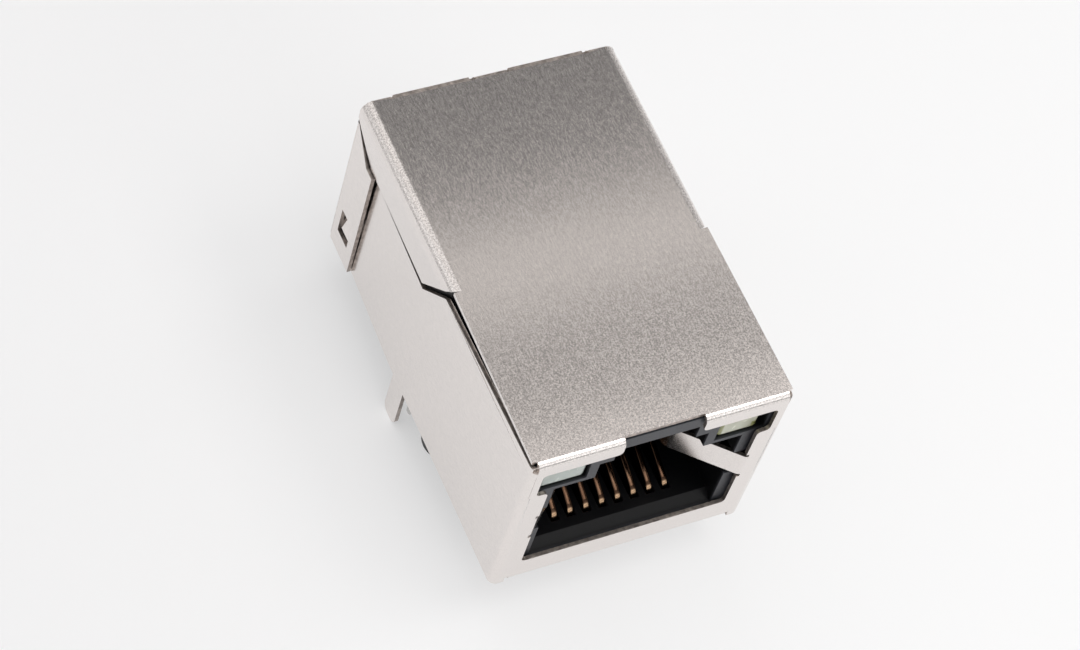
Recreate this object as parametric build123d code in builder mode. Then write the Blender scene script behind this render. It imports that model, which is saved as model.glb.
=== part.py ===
from build123d import *

import os
from math import atan, cos, tan

# Latch-up modular jack for a circuit board: a moulded port with eight contacts and two lamps, a module
# with a small circuit board and eight coils behind it, and a shield folded from one sheet round them.
# Lengths are in millimetres. X runs across the port, Y from its mouth to the back and Z up.
# The origin is on the board's surface, midway between the two locating posts.
# Unless a size says otherwise, depths count from the shield's front face, widths from the middle
# and heights from the board.

# Footprint on the user's board
post_inset = 1.95  # from the end of the port forwards to the locating posts
post_spacing = 11.43
post_radius = 1.55
post_length = 3.0
post_chamfer = 0.4
tab_setback = 3.05  # from the posts back to the shield's board tabs
tab_width = 1.5
tab_round = 0.6
pin_count = 10
pin_pitch = 1.27  # across the port from one terminal pin to the next
pin_setback = 6.35  # from the posts back to the first row of terminal pins
pin_row_gap = 2.54
pin_thickness = 0.5
pin_edge = 0.585  # from the outermost pins to the case's sides
leg_length = 3.6  # of the tabs, pins and lamp leads below the board's surface

# Port
port_half_width = 5.9
port_floor = 2.1
port_height = 7.1
port_depth = 12.9
mouth_lead_in = 0.8
mouth_lead_drop = 0.5
bulkhead = 1.2
latch_half_width = 3.4
latch_notch_half_width = 2.55
latch_notch_height = 1.1  # of the latch channel's narrow upper part
latch_below_lamps = 0.05  # how much its top is above the lamps' pockets
latch_rim = 1.4  # thickness of the rim that the plug's latch hooks behind

# Contacts
contact_count = 8
contact_pitch = 1.02
contact_width = 0.36
contact_thickness = 0.3
contact_nose = 2.1  # depth of the contact's front bend
contact_low = 1.05  # height of its run under the port's floor
contact_high = 2.25  # height where the sloping run starts
contact_slope = 0.4
contact_end_gap = 2.3  # from its free end back to the bulkhead
contact_behind = 0.6  # from the bulkhead's back to where it rises to the circuit board
contact_bend = 0.6
contact_room = 0.1
contact_stub = 0.3  # length above the circuit board
comb_length = 3.5
comb_slant = 1.0
comb_top = 6.4

# Lamps
lamp_width = 3.0
lamp_height = 2.0
lamp_length = 7.5
lamp_front = 0.5
lamp_corner = 0.3
lamp_room = 0.1
lamp_wall = 0.5  # between a lamp's pocket and the housing's side
lamp_shelf = 0.5  # between the port's ceiling and a lamp's pocket
lead_pitch = 2.2
lead_thickness = 0.45
lead_grip = 1.5  # length of a lead inside its lamp
lead_inset = 0.25  # from the bulkhead's back forwards to where the lead turns down
lead_bend = 0.6

# Housing
housing_front = 0.4
housing_edge = 0.3
housing_roof = 1.05
module_inset = 0.75  # how much narrower each side of the rear part is than the front
module_wall = 0.55
module_roof = 0.75
side_gap = 0.15  # from the housing to the shield's walls and top plate
rear_gap = 0.1  # from the housing to the rear cover
flap_room = 0.05  # between the housing and the shield's bottom flap
finger_room = 0.2
finger_skin = 0.35  # of the housing's side outside the ground finger's recess
finger_recess_end = 9.5

# Module behind the port
slip = 0.02  # round a wire or pin in its hole
module_gap = 0.1
carrier_half_width = 4.3
carrier_depth = 1.1
carrier_bottom = 1.9
case_wall = 0.5
case_floor = 1.9
board_thickness = 0.8
parts_room = 2.1  # from the circuit board up to the chamber's roof
coil_columns = 4
coil_row_gap = 0.4
transformer_radius = 1.95
transformer_bore = 0.95
transformer_length = 1.5
choke_radius = 1.4
choke_bore = 0.75
choke_length = 1.3
winding = 0.3  # thickness of the wire wound on a core
winding_gap = 1.0  # at the top, between the winding's first turn and its last
coil_sides = 16  # flat sides that stand for a coil's round outline
capacitor_size = (4.5, 2.0, 1.4)
capacitor_setback = 4.0  # from the circuit board's front edge
resistor_size = (1.6, 0.8, 0.45)
resistor_setback = 8.0
resistor_pitch = 2.2
resistor_count = 4

# Shield
sheet = 0.25
plate_overhang = 0.15  # how far the walls stand out beside the top plate
seam = 0.2  # between neighbouring edges of the folded sheet
relief = 0.25  # width of the notches that free the ends of a bend
upright_bend = 0.5  # outside radius of the bends beside the port and at the rear cover's sides
top_bend = 0.45  # outside radius of the bends above the port and at the bottom flap
side_bend = 0.7  # outside radius of the bends along the top plate's sides
rear_bend = 0.5  # outside radius of the bridges from the top plate to the rear cover
plate_gap = 0.15  # between the bridges, from the top plate's rear edge to the rear cover
top_bend_inset = 0.35  # from the shield's sides in to the ends of the bend above the port
top_bend_notch = 0.75  # height of the relief at those ends
wall_fall = 0.15  # from the wall's front down to where its top edge turns down
flap_height = 3.4  # of the top plate's side flaps
flap_front_top = 11.7  # depth where a side flap starts at the top plate
flap_front_knee = 14.7  # depth where its slanted front edge reaches its lower edge
flap_rear_inset = 2.55  # from the shield's back forwards to where its lower edge turns up
flap_rear_slope = 0.9
cover_flap_length = 3.15
cover_bottom = 0.3
bridge_middle = 1.0  # half width of the middle bridge
bridge_outer_width = 1.1
bottom_flap_inset = 1.1  # from the shield's sides in to the bottom flap
bottom_flap_depth = 3.4

# Opening in the shield's front
opening_half_width = 6.55
opening_bottom = 2.05
opening_corner = 0.3
lamp_window_inset = 0.8  # from the shield's sides in to the lamp windows
lamp_window_sill = 0.15  # how much of a lamp's foot the window hides
brow = 1.2  # height of the shield's front above the lamp windows
notch_half_width = 2.5  # for the plug's latch, through the bend above the port
notch_depth = 0.45

# Rear halves of the walls, behind their creases, and the slope that places the lances
slope_inset = 0.82  # how far in the slope has come at the wall's upper rear corner
crease_bottom = 15.45  # depth of the crease at the board
crease_top = 12.1  # depth of the crease at the wall's top

# Snap lock between the rear cover's side flaps and the walls
window_inset = 1.05  # from the shield's back forwards
window_length = 1.4
window_bottom = 1.6
window_top = 3.7
lance_lift = 0.5  # how far the lance's free end stands out of the wall

# Ground fingers, cut from the port's sides and bent inwards
finger_bottom = 5.2
finger_width = 1.95
finger_notch = 0.2  # how far the root lies outside the port's edge
finger_root_bend = 0.4
finger_root_turn = 0.15  # from the root in to the corner that its bend rounds
finger_reach = 2.95  # width of the corner that the crest rounds
finger_turn = 3.25  # depth of that corner
finger_curl = 1.2
finger_tip = 4.9
finger_tip_out = 0.4  # how far the tip turns back towards the side

# Widths that follow from the terminal pins outwards
case_half_width = (pin_count - 1) / 2 * pin_pitch + pin_edge
chamber_half_width = case_half_width + module_gap
module_half_width = chamber_half_width + module_wall
housing_half_width = module_half_width + module_inset
half_shell = housing_half_width + side_gap + sheet
lamp_middle = housing_half_width - lamp_wall - lamp_room - lamp_width / 2
lamp_window_half_width = half_shell - lamp_window_inset
top_bend_half_width = half_shell - top_bend_inset
bottom_flap_half_width = half_shell - bottom_flap_inset
bridge_outer = (half_shell - side_bend - bridge_outer_width, half_shell - side_bend)
finger_root = opening_half_width + finger_notch
contact_slot = contact_width + 2 * contact_room
contact_places = [(i - (contact_count - 1) / 2) * contact_pitch for i in range(contact_count)]
rib_places = [(i - contact_count / 2) * contact_pitch for i in range(contact_count + 1)]
lead_places = [lamp_middle - lead_pitch / 2, lamp_middle + lead_pitch / 2]

# Heights that follow from the port upwards
port_ceiling = port_floor + port_height
lamp_bottom = port_ceiling + lamp_shelf + lamp_room
lamp_centre = lamp_bottom + lamp_height / 2
pocket_top = lamp_bottom + lamp_height + lamp_room
latch_top = pocket_top + latch_below_lamps
latch_shelf = latch_top - latch_notch_height
housing_top = pocket_top + housing_roof
chamber_top = housing_top - module_roof
plate_under = housing_top + side_gap
shell_height = plate_under + sheet
front_top = shell_height - top_bend_notch
lamp_window_top = shell_height - brow
opening_shelf = lamp_bottom + lamp_window_sill
flap_bottom = shell_height - flap_height
wall_top = housing_top
case_bottom = cover_bottom
case_floor_top = case_bottom + case_floor
board_top = chamber_top - parts_room
case_top = board_top - board_thickness

# Depths that follow from the port backwards
post_setback = port_depth - post_inset
tab_depth = post_setback + tab_setback
lamp_rear = lamp_front + lamp_length
contact_end = port_depth - contact_end_gap
comb_front = port_depth - comb_length
chamber_front = port_depth + bulkhead
lead_drop = chamber_front - lead_inset
contact_rise = chamber_front + contact_behind
carrier_front = chamber_front + module_gap
board_front = carrier_front + module_gap
case_front = carrier_front + carrier_depth + module_gap
transformer_depth = case_front + case_wall + module_gap + transformer_radius + winding
choke_depth = transformer_depth + transformer_radius + coil_row_gap + choke_radius + 2 * winding
case_rear = choke_depth + choke_radius + winding + module_gap + case_wall
housing_rear = case_rear + module_gap
plate_rear = housing_rear + rear_gap
plate_edge = plate_rear - plate_gap
shell_depth = plate_rear + sheet
wall_rear = plate_rear - seam
flap_rear_knee = shell_depth - flap_rear_inset
cover_flap_front = shell_depth - cover_flap_length
window_depths = (shell_depth - window_inset - window_length, shell_depth - window_inset)


def plan(height):
    """Plane at this height, whose own x and y are the width and the depth."""
    return Plane(origin=(0, -post_setback, height))


def side(width):
    """Plane at this width, whose own x and y are the depth and the height. It faces right."""
    return Plane(origin=(width, -post_setback, 0), x_dir=(0, 1, 0), z_dir=(1, 0, 0))


def front(depth):
    """Plane at this depth, whose own x and y are the width and the height. It faces forwards."""
    return Plane(origin=(0, depth - post_setback, 0), x_dir=(1, 0, 0), z_dir=(0, -1, 0))


def block(widths, depths, heights, mode=Mode.ADD):
    """A block between two widths, two depths and two heights."""
    with BuildSketch(plan(heights[0])) as base:
        with Locations((sum(widths) / 2, sum(depths) / 2)):
            Rectangle(widths[1] - widths[0], depths[1] - depths[0])
    extrude(base.sketch, amount=heights[1] - heights[0], mode=mode)


def blocks(widths, depths, heights, mode=Mode.ADD):
    """The same block on the right and on the left."""
    block(widths, depths, heights, mode)
    block((-widths[1], -widths[0]), depths, heights, mode)


def side_cuts(widths, outline):
    """Cut an outline of depths and heights between two widths, on the right and on the left."""
    for low in (widths[0], -widths[1]):
        with BuildSketch(side(low)) as cut:
            with BuildLine():
                Polyline(*outline, close=True)
            make_face()
        extrude(cut.sketch, amount=widths[1] - widths[0], mode=Mode.SUBTRACT)


def folded(plane, outline, bend, amount, both=False):
    """Sheet bent along its outer face's outline, which runs with the inside on its left."""
    with BuildSketch(plane) as strip:
        with BuildLine():
            FilletPolyline(*outline, radius=bend)
            offset(amount=sheet, side=Side.LEFT)
        make_face()
    extrude(strip.sketch, amount=amount, both=both)


def wire(width, route, bend, thickness, breadth):
    """A flat wire at this width, bent along its middle line, which is a route of depths and heights."""
    with BuildSketch(side(width)) as flat:
        with BuildLine():
            FilletPolyline(*route, radius=bend)
        trace(line_width=thickness)
    extrude(flat.sketch, amount=breadth / 2, both=True)


def save(part, name):
    """Label a finished piece and write it under its own name."""
    part.label = name
    export_step(part, f"parts/{name}.step")


os.makedirs("parts", exist_ok=True)

# Right side of the shield behind its crease, with the lance and the board tab. It stands upright, in line
# with the front half. Its thickness and the lance's root follow the slope.
crease_run = crease_bottom - crease_top
crease_tilt = atan(crease_run / wall_top)


def behind_crease(depth, height):
    """Distance of a point of the wall behind the crease, square to it."""
    return (depth - crease_bottom + crease_run * height / wall_top) * cos(crease_tilt)


rear_slope = atan(slope_inset / behind_crease(wall_rear, flap_bottom - seam))
rear_sheet = sheet * cos(rear_slope)
lance_depths = (window_depths[0] + seam, window_depths[1] - seam)
lance_heights = (window_bottom + seam, window_top - seam)
lance_root = half_shell - behind_crease(sum(lance_depths) / 2, lance_heights[1]) * tan(rear_slope)

with BuildPart() as right_side:
    with BuildSketch(side(half_shell)):
        with BuildLine():
            Polyline(
                (crease_bottom, 0),
                (wall_rear, 0),
                (wall_rear, wall_top),
                (crease_top, wall_top),
                close=True,
            )
        make_face()
    extrude(amount=-rear_sheet)
    block((module_half_width, half_shell), lance_depths, lance_heights, Mode.SUBTRACT)
    with BuildSketch(front(lance_depths[1])):
        with BuildLine():
            Polyline(
                (lance_root, lance_heights[1] + sheet),
                (lance_root + lance_lift, lance_heights[0] + seam),
                (lance_root + lance_lift - sheet, lance_heights[0] + seam),
                (lance_root - sheet, lance_heights[1] + sheet),
                close=True,
            )
        make_face()
    extrude(amount=lance_depths[1] - lance_depths[0])
    with BuildSketch(side(half_shell)) as tab:
        with Locations((tab_depth, -leg_length / 2)):
            Rectangle(tab_width, leg_length)
        fillet(tab.vertices().group_by(Axis.Y)[0], tab_round)
    extrude(amount=-sheet)

# Right ground finger, from its tip in the port out to its root in the shield's front
with BuildPart() as finger:
    finger_route = (
        (finger_reach + finger_tip_out, finger_tip),
        (finger_reach, finger_turn),
        (finger_root - finger_root_turn, 0),
        (lamp_window_half_width, 0),
    )
    folded(plan(finger_bottom), finger_route, (finger_curl, finger_root_bend), finger_width)

# Front face of the shield and its side walls, bent back beside the port
with BuildPart() as walls:
    wall_route = (
        (-half_shell, crease_bottom),
        (-half_shell, 0),
        (half_shell, 0),
        (half_shell, crease_bottom),
    )
    folded(plan(0), wall_route, upright_bend, wall_top)
    rear_half = ((crease_bottom, 0), (crease_top, wall_top), (shell_depth, wall_top), (shell_depth, 0))
    side_cuts((port_half_width, half_shell), rear_half)
    front_strip = top_bend_half_width + relief
    block((-front_strip, front_strip), (0, sheet), (front_top, wall_top), Mode.SUBTRACT)
    corner_strip = bottom_flap_half_width + relief
    block((-corner_strip, corner_strip), (0, sheet), (0, top_bend), Mode.SUBTRACT)
    root_heights = (finger_bottom - relief, finger_bottom + finger_width + relief)
    blocks((port_half_width, finger_root), (0, sheet), root_heights, Mode.SUBTRACT)
    add(right_side.part)
    mirror(right_side.part, about=Plane.YZ)
    above_wall = (
        (0, wall_top),
        (flap_front_top - seam, wall_top - wall_fall),
        (flap_front_knee - seam, flap_bottom - seam),
        (shell_depth, flap_bottom - seam),
        (shell_depth, shell_height),
        (0, shell_height),
    )
    side_cuts((port_half_width, half_shell), above_wall)

# Top plate with the bend above the port, the bridges at the back and the side flaps
with BuildPart() as top_plate:
    plate_route = (
        (shell_depth, front_top),
        (shell_depth, shell_height),
        (0, shell_height),
        (0, opening_shelf),
    )
    folded(side(0), plate_route, (rear_bend, top_bend), half_shell - plate_overhang, both=True)
    bend_heights = (front_top, shell_height)
    blocks((bridge_outer[1], half_shell), (plate_rear, shell_depth), bend_heights, Mode.SUBTRACT)
    blocks((top_bend_half_width, half_shell), (0, sheet), (opening_shelf, plate_under), Mode.SUBTRACT)
    blocks((top_bend_half_width, front_strip), (0, notch_depth), (front_top, shell_height), Mode.SUBTRACT)
    bend_start = half_shell - side_bend
    beside_flaps = (flap_front_top, plate_rear)
    blocks((bend_start, half_shell), beside_flaps, (plate_under, shell_height), Mode.SUBTRACT)
    flap_route = (
        (half_shell, flap_bottom),
        (half_shell, shell_height),
        (-half_shell, shell_height),
        (-half_shell, flap_bottom),
    )
    folded(front(plate_rear), flap_route, side_bend, plate_rear - flap_front_top)
    blocks((bridge_middle, bridge_outer[0]), (plate_edge, shell_depth), bend_heights, Mode.SUBTRACT)
    before_flap = (
        (flap_front_top, flap_bottom),
        (flap_front_top, shell_height),
        (flap_front_knee, flap_bottom),
    )
    side_cuts((bend_start, half_shell), before_flap)
    behind_flap = (
        (flap_rear_knee, flap_bottom),
        (shell_depth, flap_bottom + flap_rear_slope * (shell_depth - flap_rear_knee)),
        (shell_depth, flap_bottom),
    )
    side_cuts((bend_start, half_shell), behind_flap)

# Rear cover, with side flaps that snap over the walls' lances
with BuildPart() as rear_cover:
    cover_route = (
        (half_shell, cover_flap_front),
        (half_shell, shell_depth),
        (-half_shell, shell_depth),
        (-half_shell, cover_flap_front),
    )
    folded(plan(cover_bottom), cover_route, upright_bend, plate_under - cover_bottom)
    cover = (plate_rear, shell_depth)
    bridge_room = (plate_under - seam, plate_under)
    block((-bridge_middle - relief, bridge_middle + relief), cover, bridge_room, Mode.SUBTRACT)
    blocks((bridge_outer[0] - relief, half_shell), cover, bridge_room, Mode.SUBTRACT)
    cover_edge = flap_bottom - seam - flap_rear_slope * (flap_rear_knee + seam)
    above_cover = (
        (cover_flap_front, cover_edge + flap_rear_slope * cover_flap_front),
        (shell_depth, cover_edge + flap_rear_slope * shell_depth),
        (shell_depth, shell_height),
        (cover_flap_front, shell_height),
    )
    side_cuts((half_shell - upright_bend, half_shell), above_cover)
    blocks((module_half_width, half_shell), window_depths, (window_bottom, window_top), Mode.SUBTRACT)

with BuildPart() as shield:
    add(walls.part)
    add(top_plate.part)
    add(rear_cover.part)
    bottom_route = ((0, opening_bottom), (0, 0), (bottom_flap_depth, 0))
    folded(side(0), bottom_route, top_bend, bottom_flap_half_width, both=True)
    with BuildSketch(front(0)) as opening:
        with Locations((0, (opening_bottom + opening_shelf) / 2)):
            Rectangle(2 * opening_half_width, opening_shelf - opening_bottom)
        with Locations((0, (opening_shelf + lamp_window_top) / 2)):
            Rectangle(2 * lamp_window_half_width, lamp_window_top - opening_shelf)
        with Locations((0, (lamp_window_top + shell_height) / 2)):
            Rectangle(2 * notch_half_width, shell_height - lamp_window_top)
        fillet(opening.vertices().filter_by(lambda v: v.Y < shell_height), opening_corner)
    extrude(amount=-notch_depth, mode=Mode.SUBTRACT)
    add(finger.part)
    mirror(finger.part, about=Plane.YZ)
save(shield.part, "shield")

# Housing, one moulding with the port, the lamps' pockets and the chamber for the module
with BuildPart() as housing:
    block(
        (-housing_half_width, housing_half_width),
        (housing_front, chamber_front),
        (0, housing_top),
    )
    fillet(housing.edges().filter_by(Axis.Y).group_by(Axis.Z)[-1], housing_edge)
    block((-module_half_width, module_half_width), (chamber_front, housing_rear), (0, housing_top))
    block(
        (-chamber_half_width, chamber_half_width),
        (chamber_front, housing_rear),
        (0, chamber_top),
        Mode.SUBTRACT,
    )

    # Port with its lead-in, and the channel for the plug's latch
    inside = (housing_front, port_depth)
    block((-port_half_width, port_half_width), inside, (port_floor, port_ceiling), Mode.SUBTRACT)
    block((-latch_half_width, latch_half_width), inside, (port_ceiling, latch_shelf), Mode.SUBTRACT)
    block(
        (-latch_notch_half_width, latch_notch_half_width),
        inside,
        (latch_shelf, latch_top),
        Mode.SUBTRACT,
    )
    behind_rim = (housing_front + latch_rim, port_depth)
    block((-latch_half_width, latch_half_width), behind_rim, (latch_shelf, latch_top), Mode.SUBTRACT)
    with BuildSketch(side(0)):
        with BuildLine():
            Polyline(
                (housing_front, port_floor - mouth_lead_drop),
                (housing_front + mouth_lead_in, port_floor),
                (housing_front, port_floor),
                close=True,
            )
        make_face()
    extrude(amount=port_half_width, both=True, mode=Mode.SUBTRACT)
    blocks(
        (port_half_width, housing_half_width - finger_skin),
        (housing_front, finger_recess_end),
        (finger_bottom - finger_room, finger_bottom + finger_width + finger_room),
        Mode.SUBTRACT,
    )

    # Slots for the contacts, with the comb that guides their free ends
    for x in contact_places:
        block(
            (x - contact_slot / 2, x + contact_slot / 2),
            (contact_nose - contact_thickness, chamber_front),
            (contact_low - contact_thickness / 2 - contact_room, port_floor),
            Mode.SUBTRACT,
        )
    for x in rib_places:
        with BuildSketch(side(x)):
            with BuildLine():
                Polyline(
                    (comb_front, port_floor),
                    (comb_front + comb_slant, comb_top),
                    (port_depth, comb_top),
                    (port_depth, port_floor),
                    close=True,
                )
            make_face()
        extrude(amount=(contact_pitch - contact_slot) / 2, both=True)

    # Pockets for the lamps and grooves for their leads
    blocks(
        (lamp_middle - lamp_width / 2 - lamp_room, lamp_middle + lamp_width / 2 + lamp_room),
        (housing_front, lamp_rear + lamp_room),
        (lamp_bottom - lamp_room, pocket_top),
        Mode.SUBTRACT,
    )
    groove = lead_thickness / 2 + lamp_room
    for x in lead_places:
        blocks(
            (x - groove, x + groove),
            (lamp_rear, chamber_front),
            (lamp_centre - groove, lamp_centre + groove),
            Mode.SUBTRACT,
        )
        blocks(
            (x - groove, x + groove),
            (lead_drop - groove, chamber_front),
            (0, lamp_centre + groove),
            Mode.SUBTRACT,
        )

    # Room for the shield's bottom flap, and the locating posts
    block(
        (-corner_strip, corner_strip),
        (housing_front, bottom_flap_depth + relief),
        (0, sheet + flap_room),
        Mode.SUBTRACT,
    )
    with BuildSketch(Plane.XY):
        with GridLocations(post_spacing, 0, 2, 1):
            Circle(post_radius)
    extrude(amount=-post_length)
    tips = housing.edges().filter_by(GeomType.CIRCLE).group_by(Axis.Z)[0]
    chamfer(tips, post_chamfer)
save(housing.part, "housing")

# Contacts, from the circuit board down behind the port, under its floor and back up into it
contact_route = (
    (contact_end, contact_high + contact_slope * (contact_end - contact_nose)),
    (contact_nose, contact_high),
    (contact_nose, contact_low),
    (contact_rise, contact_low),
    (contact_rise, board_top + contact_stub),
)
for number, x in enumerate(contact_places, 1):
    with BuildPart() as contact:
        wire(x, contact_route, contact_bend, contact_thickness, contact_width)
    save(contact.part, f"contact_{number}")

# Lamps and their leads
for place, sign in (("left", -1), ("right", 1)):
    with BuildPart() as lamp:
        with BuildSketch(front(lamp_front)) as lens:
            with Locations((sign * lamp_middle, lamp_centre)):
                Rectangle(lamp_width, lamp_height)
            fillet(lens.vertices().group_by(Axis.Y)[0], lamp_corner)
        extrude(amount=-lamp_length)
        for x in lead_places:
            hole = lead_thickness / 2 + slip
            block(
                (sign * x - hole, sign * x + hole),
                (lamp_rear - lead_grip - slip, lamp_rear),
                (lamp_centre - hole, lamp_centre + hole),
                Mode.SUBTRACT,
            )
    save(lamp.part, f"led_{place}")

lead_route = (
    (lamp_rear - lead_grip, lamp_centre),
    (lead_drop, lamp_centre),
    (lead_drop, -leg_length),
)
for number, x in enumerate([-lead_places[1], -lead_places[0], *lead_places], 1):
    with BuildPart() as lead:
        wire(x, lead_route, lead_bend, lead_thickness, lead_thickness)
    save(lead.part, f"led_lead_{number}")

# Carrier that holds the contacts' rising ends
with BuildPart() as carrier:
    block(
        (-carrier_half_width, carrier_half_width),
        (carrier_front, carrier_front + carrier_depth),
        (carrier_bottom, case_top),
    )
    for x in contact_places:
        block(
            (x - contact_width / 2 - slip, x + contact_width / 2 + slip),
            (carrier_front, contact_rise + contact_thickness / 2 + slip),
            (carrier_bottom, case_top),
            Mode.SUBTRACT,
        )
save(carrier.part, "contact_carrier")

# Open box that holds the coils, with the terminal pins in its floor
pin_places = [
    ((i - (pin_count - 1) / 2) * pin_pitch, pin_setback + pin_row_gap * (i % 2))
    for i in range(pin_count)
]
with BuildPart() as case:
    block((-case_half_width, case_half_width), (case_front, case_rear), (case_bottom, case_top))
    block(
        (case_wall - case_half_width, case_half_width - case_wall),
        (case_front + case_wall, case_rear - case_wall),
        (case_floor_top, case_top),
        Mode.SUBTRACT,
    )
    with BuildSketch(Plane.XY.offset(case_bottom)):
        with Locations(*pin_places):
            Rectangle(pin_thickness + 2 * slip, pin_thickness + 2 * slip)
    extrude(amount=case_floor, mode=Mode.SUBTRACT)
save(case.part, "magnetics_case")

for number, place in enumerate(pin_places, 1):
    with BuildPart() as pin:
        with BuildSketch(Plane.XY.offset(-leg_length)):
            with Locations(place):
                Rectangle(pin_thickness, pin_thickness)
        extrude(amount=leg_length + case_floor_top)
        chamfer(pin.faces().sort_by(Axis.Z)[0].edges(), pin_thickness / 4)
    save(pin.part, f"terminal_pin_{number}")

# Coils, each a ring core with wire wound round most of it
column_pitch = 2 * (case_half_width - case_wall) / coil_columns
column_places = [(i - (coil_columns - 1) / 2) * column_pitch for i in range(coil_columns)]
coil_rows = {
    "transformer": (transformer_depth, transformer_radius, transformer_bore, transformer_length),
    "choke": (choke_depth, choke_radius, choke_bore, choke_length),
}
for name, (depth, radius, bore, length) in coil_rows.items():
    height = case_floor_top + module_gap + winding + radius
    for number, x in enumerate(column_places, 1):
        ring = Plane(origin=(x, depth - post_setback, height), x_dir=(0, 1, 0), z_dir=(1, 0, 0))
        with BuildPart() as core:
            with BuildSketch(ring):
                RegularPolygon(radius, coil_sides)
                RegularPolygon(bore, coil_sides, mode=Mode.SUBTRACT)
            extrude(amount=length / 2, both=True)
        save(core.part, f"{name}_core_{number}")
        with BuildPart() as coil:
            with BuildSketch(ring):
                RegularPolygon(radius + winding, coil_sides)
                RegularPolygon(bore - winding, coil_sides, mode=Mode.SUBTRACT)
            extrude(amount=length / 2 + winding, both=True)
            with BuildSketch(ring):
                RegularPolygon(radius + slip, coil_sides)
                RegularPolygon(bore - slip, coil_sides, mode=Mode.SUBTRACT)
            extrude(amount=length / 2 + slip, both=True, mode=Mode.SUBTRACT)
            block(
                (x - length / 2 - winding, x + length / 2 + winding),
                (depth - winding_gap / 2, depth + winding_gap / 2),
                (height, height + radius + winding),
                Mode.SUBTRACT,
            )
        save(coil.part, f"{name}_winding_{number}")

# Circuit board over the case, with its parts
with BuildPart() as board:
    block((-case_half_width, case_half_width), (board_front, case_rear), (case_top, board_top))
    for x in contact_places:
        block(
            (x - contact_width / 2 - slip, x + contact_width / 2 + slip),
            (contact_rise - contact_thickness / 2 - slip, contact_rise + contact_thickness / 2 + slip),
            (case_top, board_top),
            Mode.SUBTRACT,
        )
save(board.part, "circuit_board")

with BuildPart() as capacitor:
    with BuildSketch(plan(board_top)):
        with Locations((0, board_front + capacitor_setback)):
            Rectangle(*capacitor_size[:2])
    extrude(amount=capacitor_size[2])
save(capacitor.part, "capacitor")

for number in range(1, resistor_count + 1):
    with BuildPart() as resistor:
        with BuildSketch(plan(board_top)):
            across = (number - (resistor_count + 1) / 2) * resistor_pitch
            with Locations((across, board_front + resistor_setback)):
                Rectangle(*resistor_size[:2])
        extrude(amount=resistor_size[2])
    save(resistor.part, f"resistor_{number}")
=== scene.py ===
from math import pi, radians

import bmesh
import bpy
import numpy as np
from bpy.props import FloatProperty, FloatVectorProperty, IntProperty, PointerProperty
from mathutils import Matrix, Vector
from mathutils.bvhtree import BVHTree


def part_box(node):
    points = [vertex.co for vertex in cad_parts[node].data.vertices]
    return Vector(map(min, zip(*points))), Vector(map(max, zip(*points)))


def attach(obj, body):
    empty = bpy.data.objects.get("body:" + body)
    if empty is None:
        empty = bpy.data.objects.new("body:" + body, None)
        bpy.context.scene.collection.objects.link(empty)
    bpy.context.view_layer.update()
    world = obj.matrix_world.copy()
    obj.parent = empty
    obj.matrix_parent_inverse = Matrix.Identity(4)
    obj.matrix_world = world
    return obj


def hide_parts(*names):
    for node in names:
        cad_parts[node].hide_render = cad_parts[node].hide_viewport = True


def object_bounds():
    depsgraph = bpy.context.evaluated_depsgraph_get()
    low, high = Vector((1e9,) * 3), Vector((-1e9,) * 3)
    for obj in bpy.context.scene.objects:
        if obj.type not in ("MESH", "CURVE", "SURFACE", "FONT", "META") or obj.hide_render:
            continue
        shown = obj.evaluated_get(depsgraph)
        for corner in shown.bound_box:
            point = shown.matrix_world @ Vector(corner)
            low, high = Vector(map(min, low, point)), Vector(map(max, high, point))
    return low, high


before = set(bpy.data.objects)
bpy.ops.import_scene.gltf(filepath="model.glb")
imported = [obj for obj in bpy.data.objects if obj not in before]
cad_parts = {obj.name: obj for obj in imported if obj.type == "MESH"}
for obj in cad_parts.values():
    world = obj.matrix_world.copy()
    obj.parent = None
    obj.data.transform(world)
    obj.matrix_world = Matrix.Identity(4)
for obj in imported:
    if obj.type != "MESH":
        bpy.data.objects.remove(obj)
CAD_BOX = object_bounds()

bl_info = {
    "name": "Board jack",
    "version": (1, 0, 0),
    "blender": (4, 5, 0),
    "location": "3D View > Sidebar > Board Jack",
    "description": "Dresses the packed board jack and sets its stage",
    "category": "Object",
}

MM = 0.001
SAME_POINT = 2e-6  # metres within which two points are one
FLAT_ANGLE = 0.6  # degrees within which neighbouring faces are one
CUT_DEPTH = 1.12  # thicknesses of sheet behind a face, beyond which it is a cut edge
ROUND_STEPS = 2  # rows of faces round an edge

# From here to the finishes, lengths are in millimetres, and depths start at the shield's front face
SETBACK = 10.95  # from that face back to the frame's origin
PORT_CEILING = 9.2
RIB_LEAD_IN = 0.2  # rise of the ceiling's front edge under the lamps
RIB_FRONT = 0.45  # depth before which its points rise
RIB_REACH = 3.3  # half width beyond which they rise
LAMP_END_ROOM = 0.4  # by which the right lamp stops short of its pocket's outer end
CONTACT_ROUTE = ((10.6, 5.65), (2.1, 2.25), (2.1, 1.05), (14.7, 1.05), (14.7, 10.4))  # depths and heights
LEAD_ROUTE = ((6.5, 10.8), (13.85, 10.8), (13.85, -3.6))
BORES = (("transformer", 0.95), ("choke", 0.75))  # radii
CHOKE_TURNS_LESS = 4
WINDING_GAP = 1.4  # along the ring, where the wire starts and ends
PIN_SHARES = (0.4, 0.52, 1.0, 1.0, 0.75)  # of a pin's thickness, from its tip to its top
PIN_BLUNT = 0.15  # share of the taper that the blunt tip takes
PIN_TOP = 0.1
PIN_CORNER = 0.07
CAPACITOR = (0.12, 0.6)  # a chip part's corner and its end caps
RESISTOR = (0.06, 0.3)
RESISTOR_GLAZE = (0.03, 0.03, 0.032)  # a colour

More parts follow.
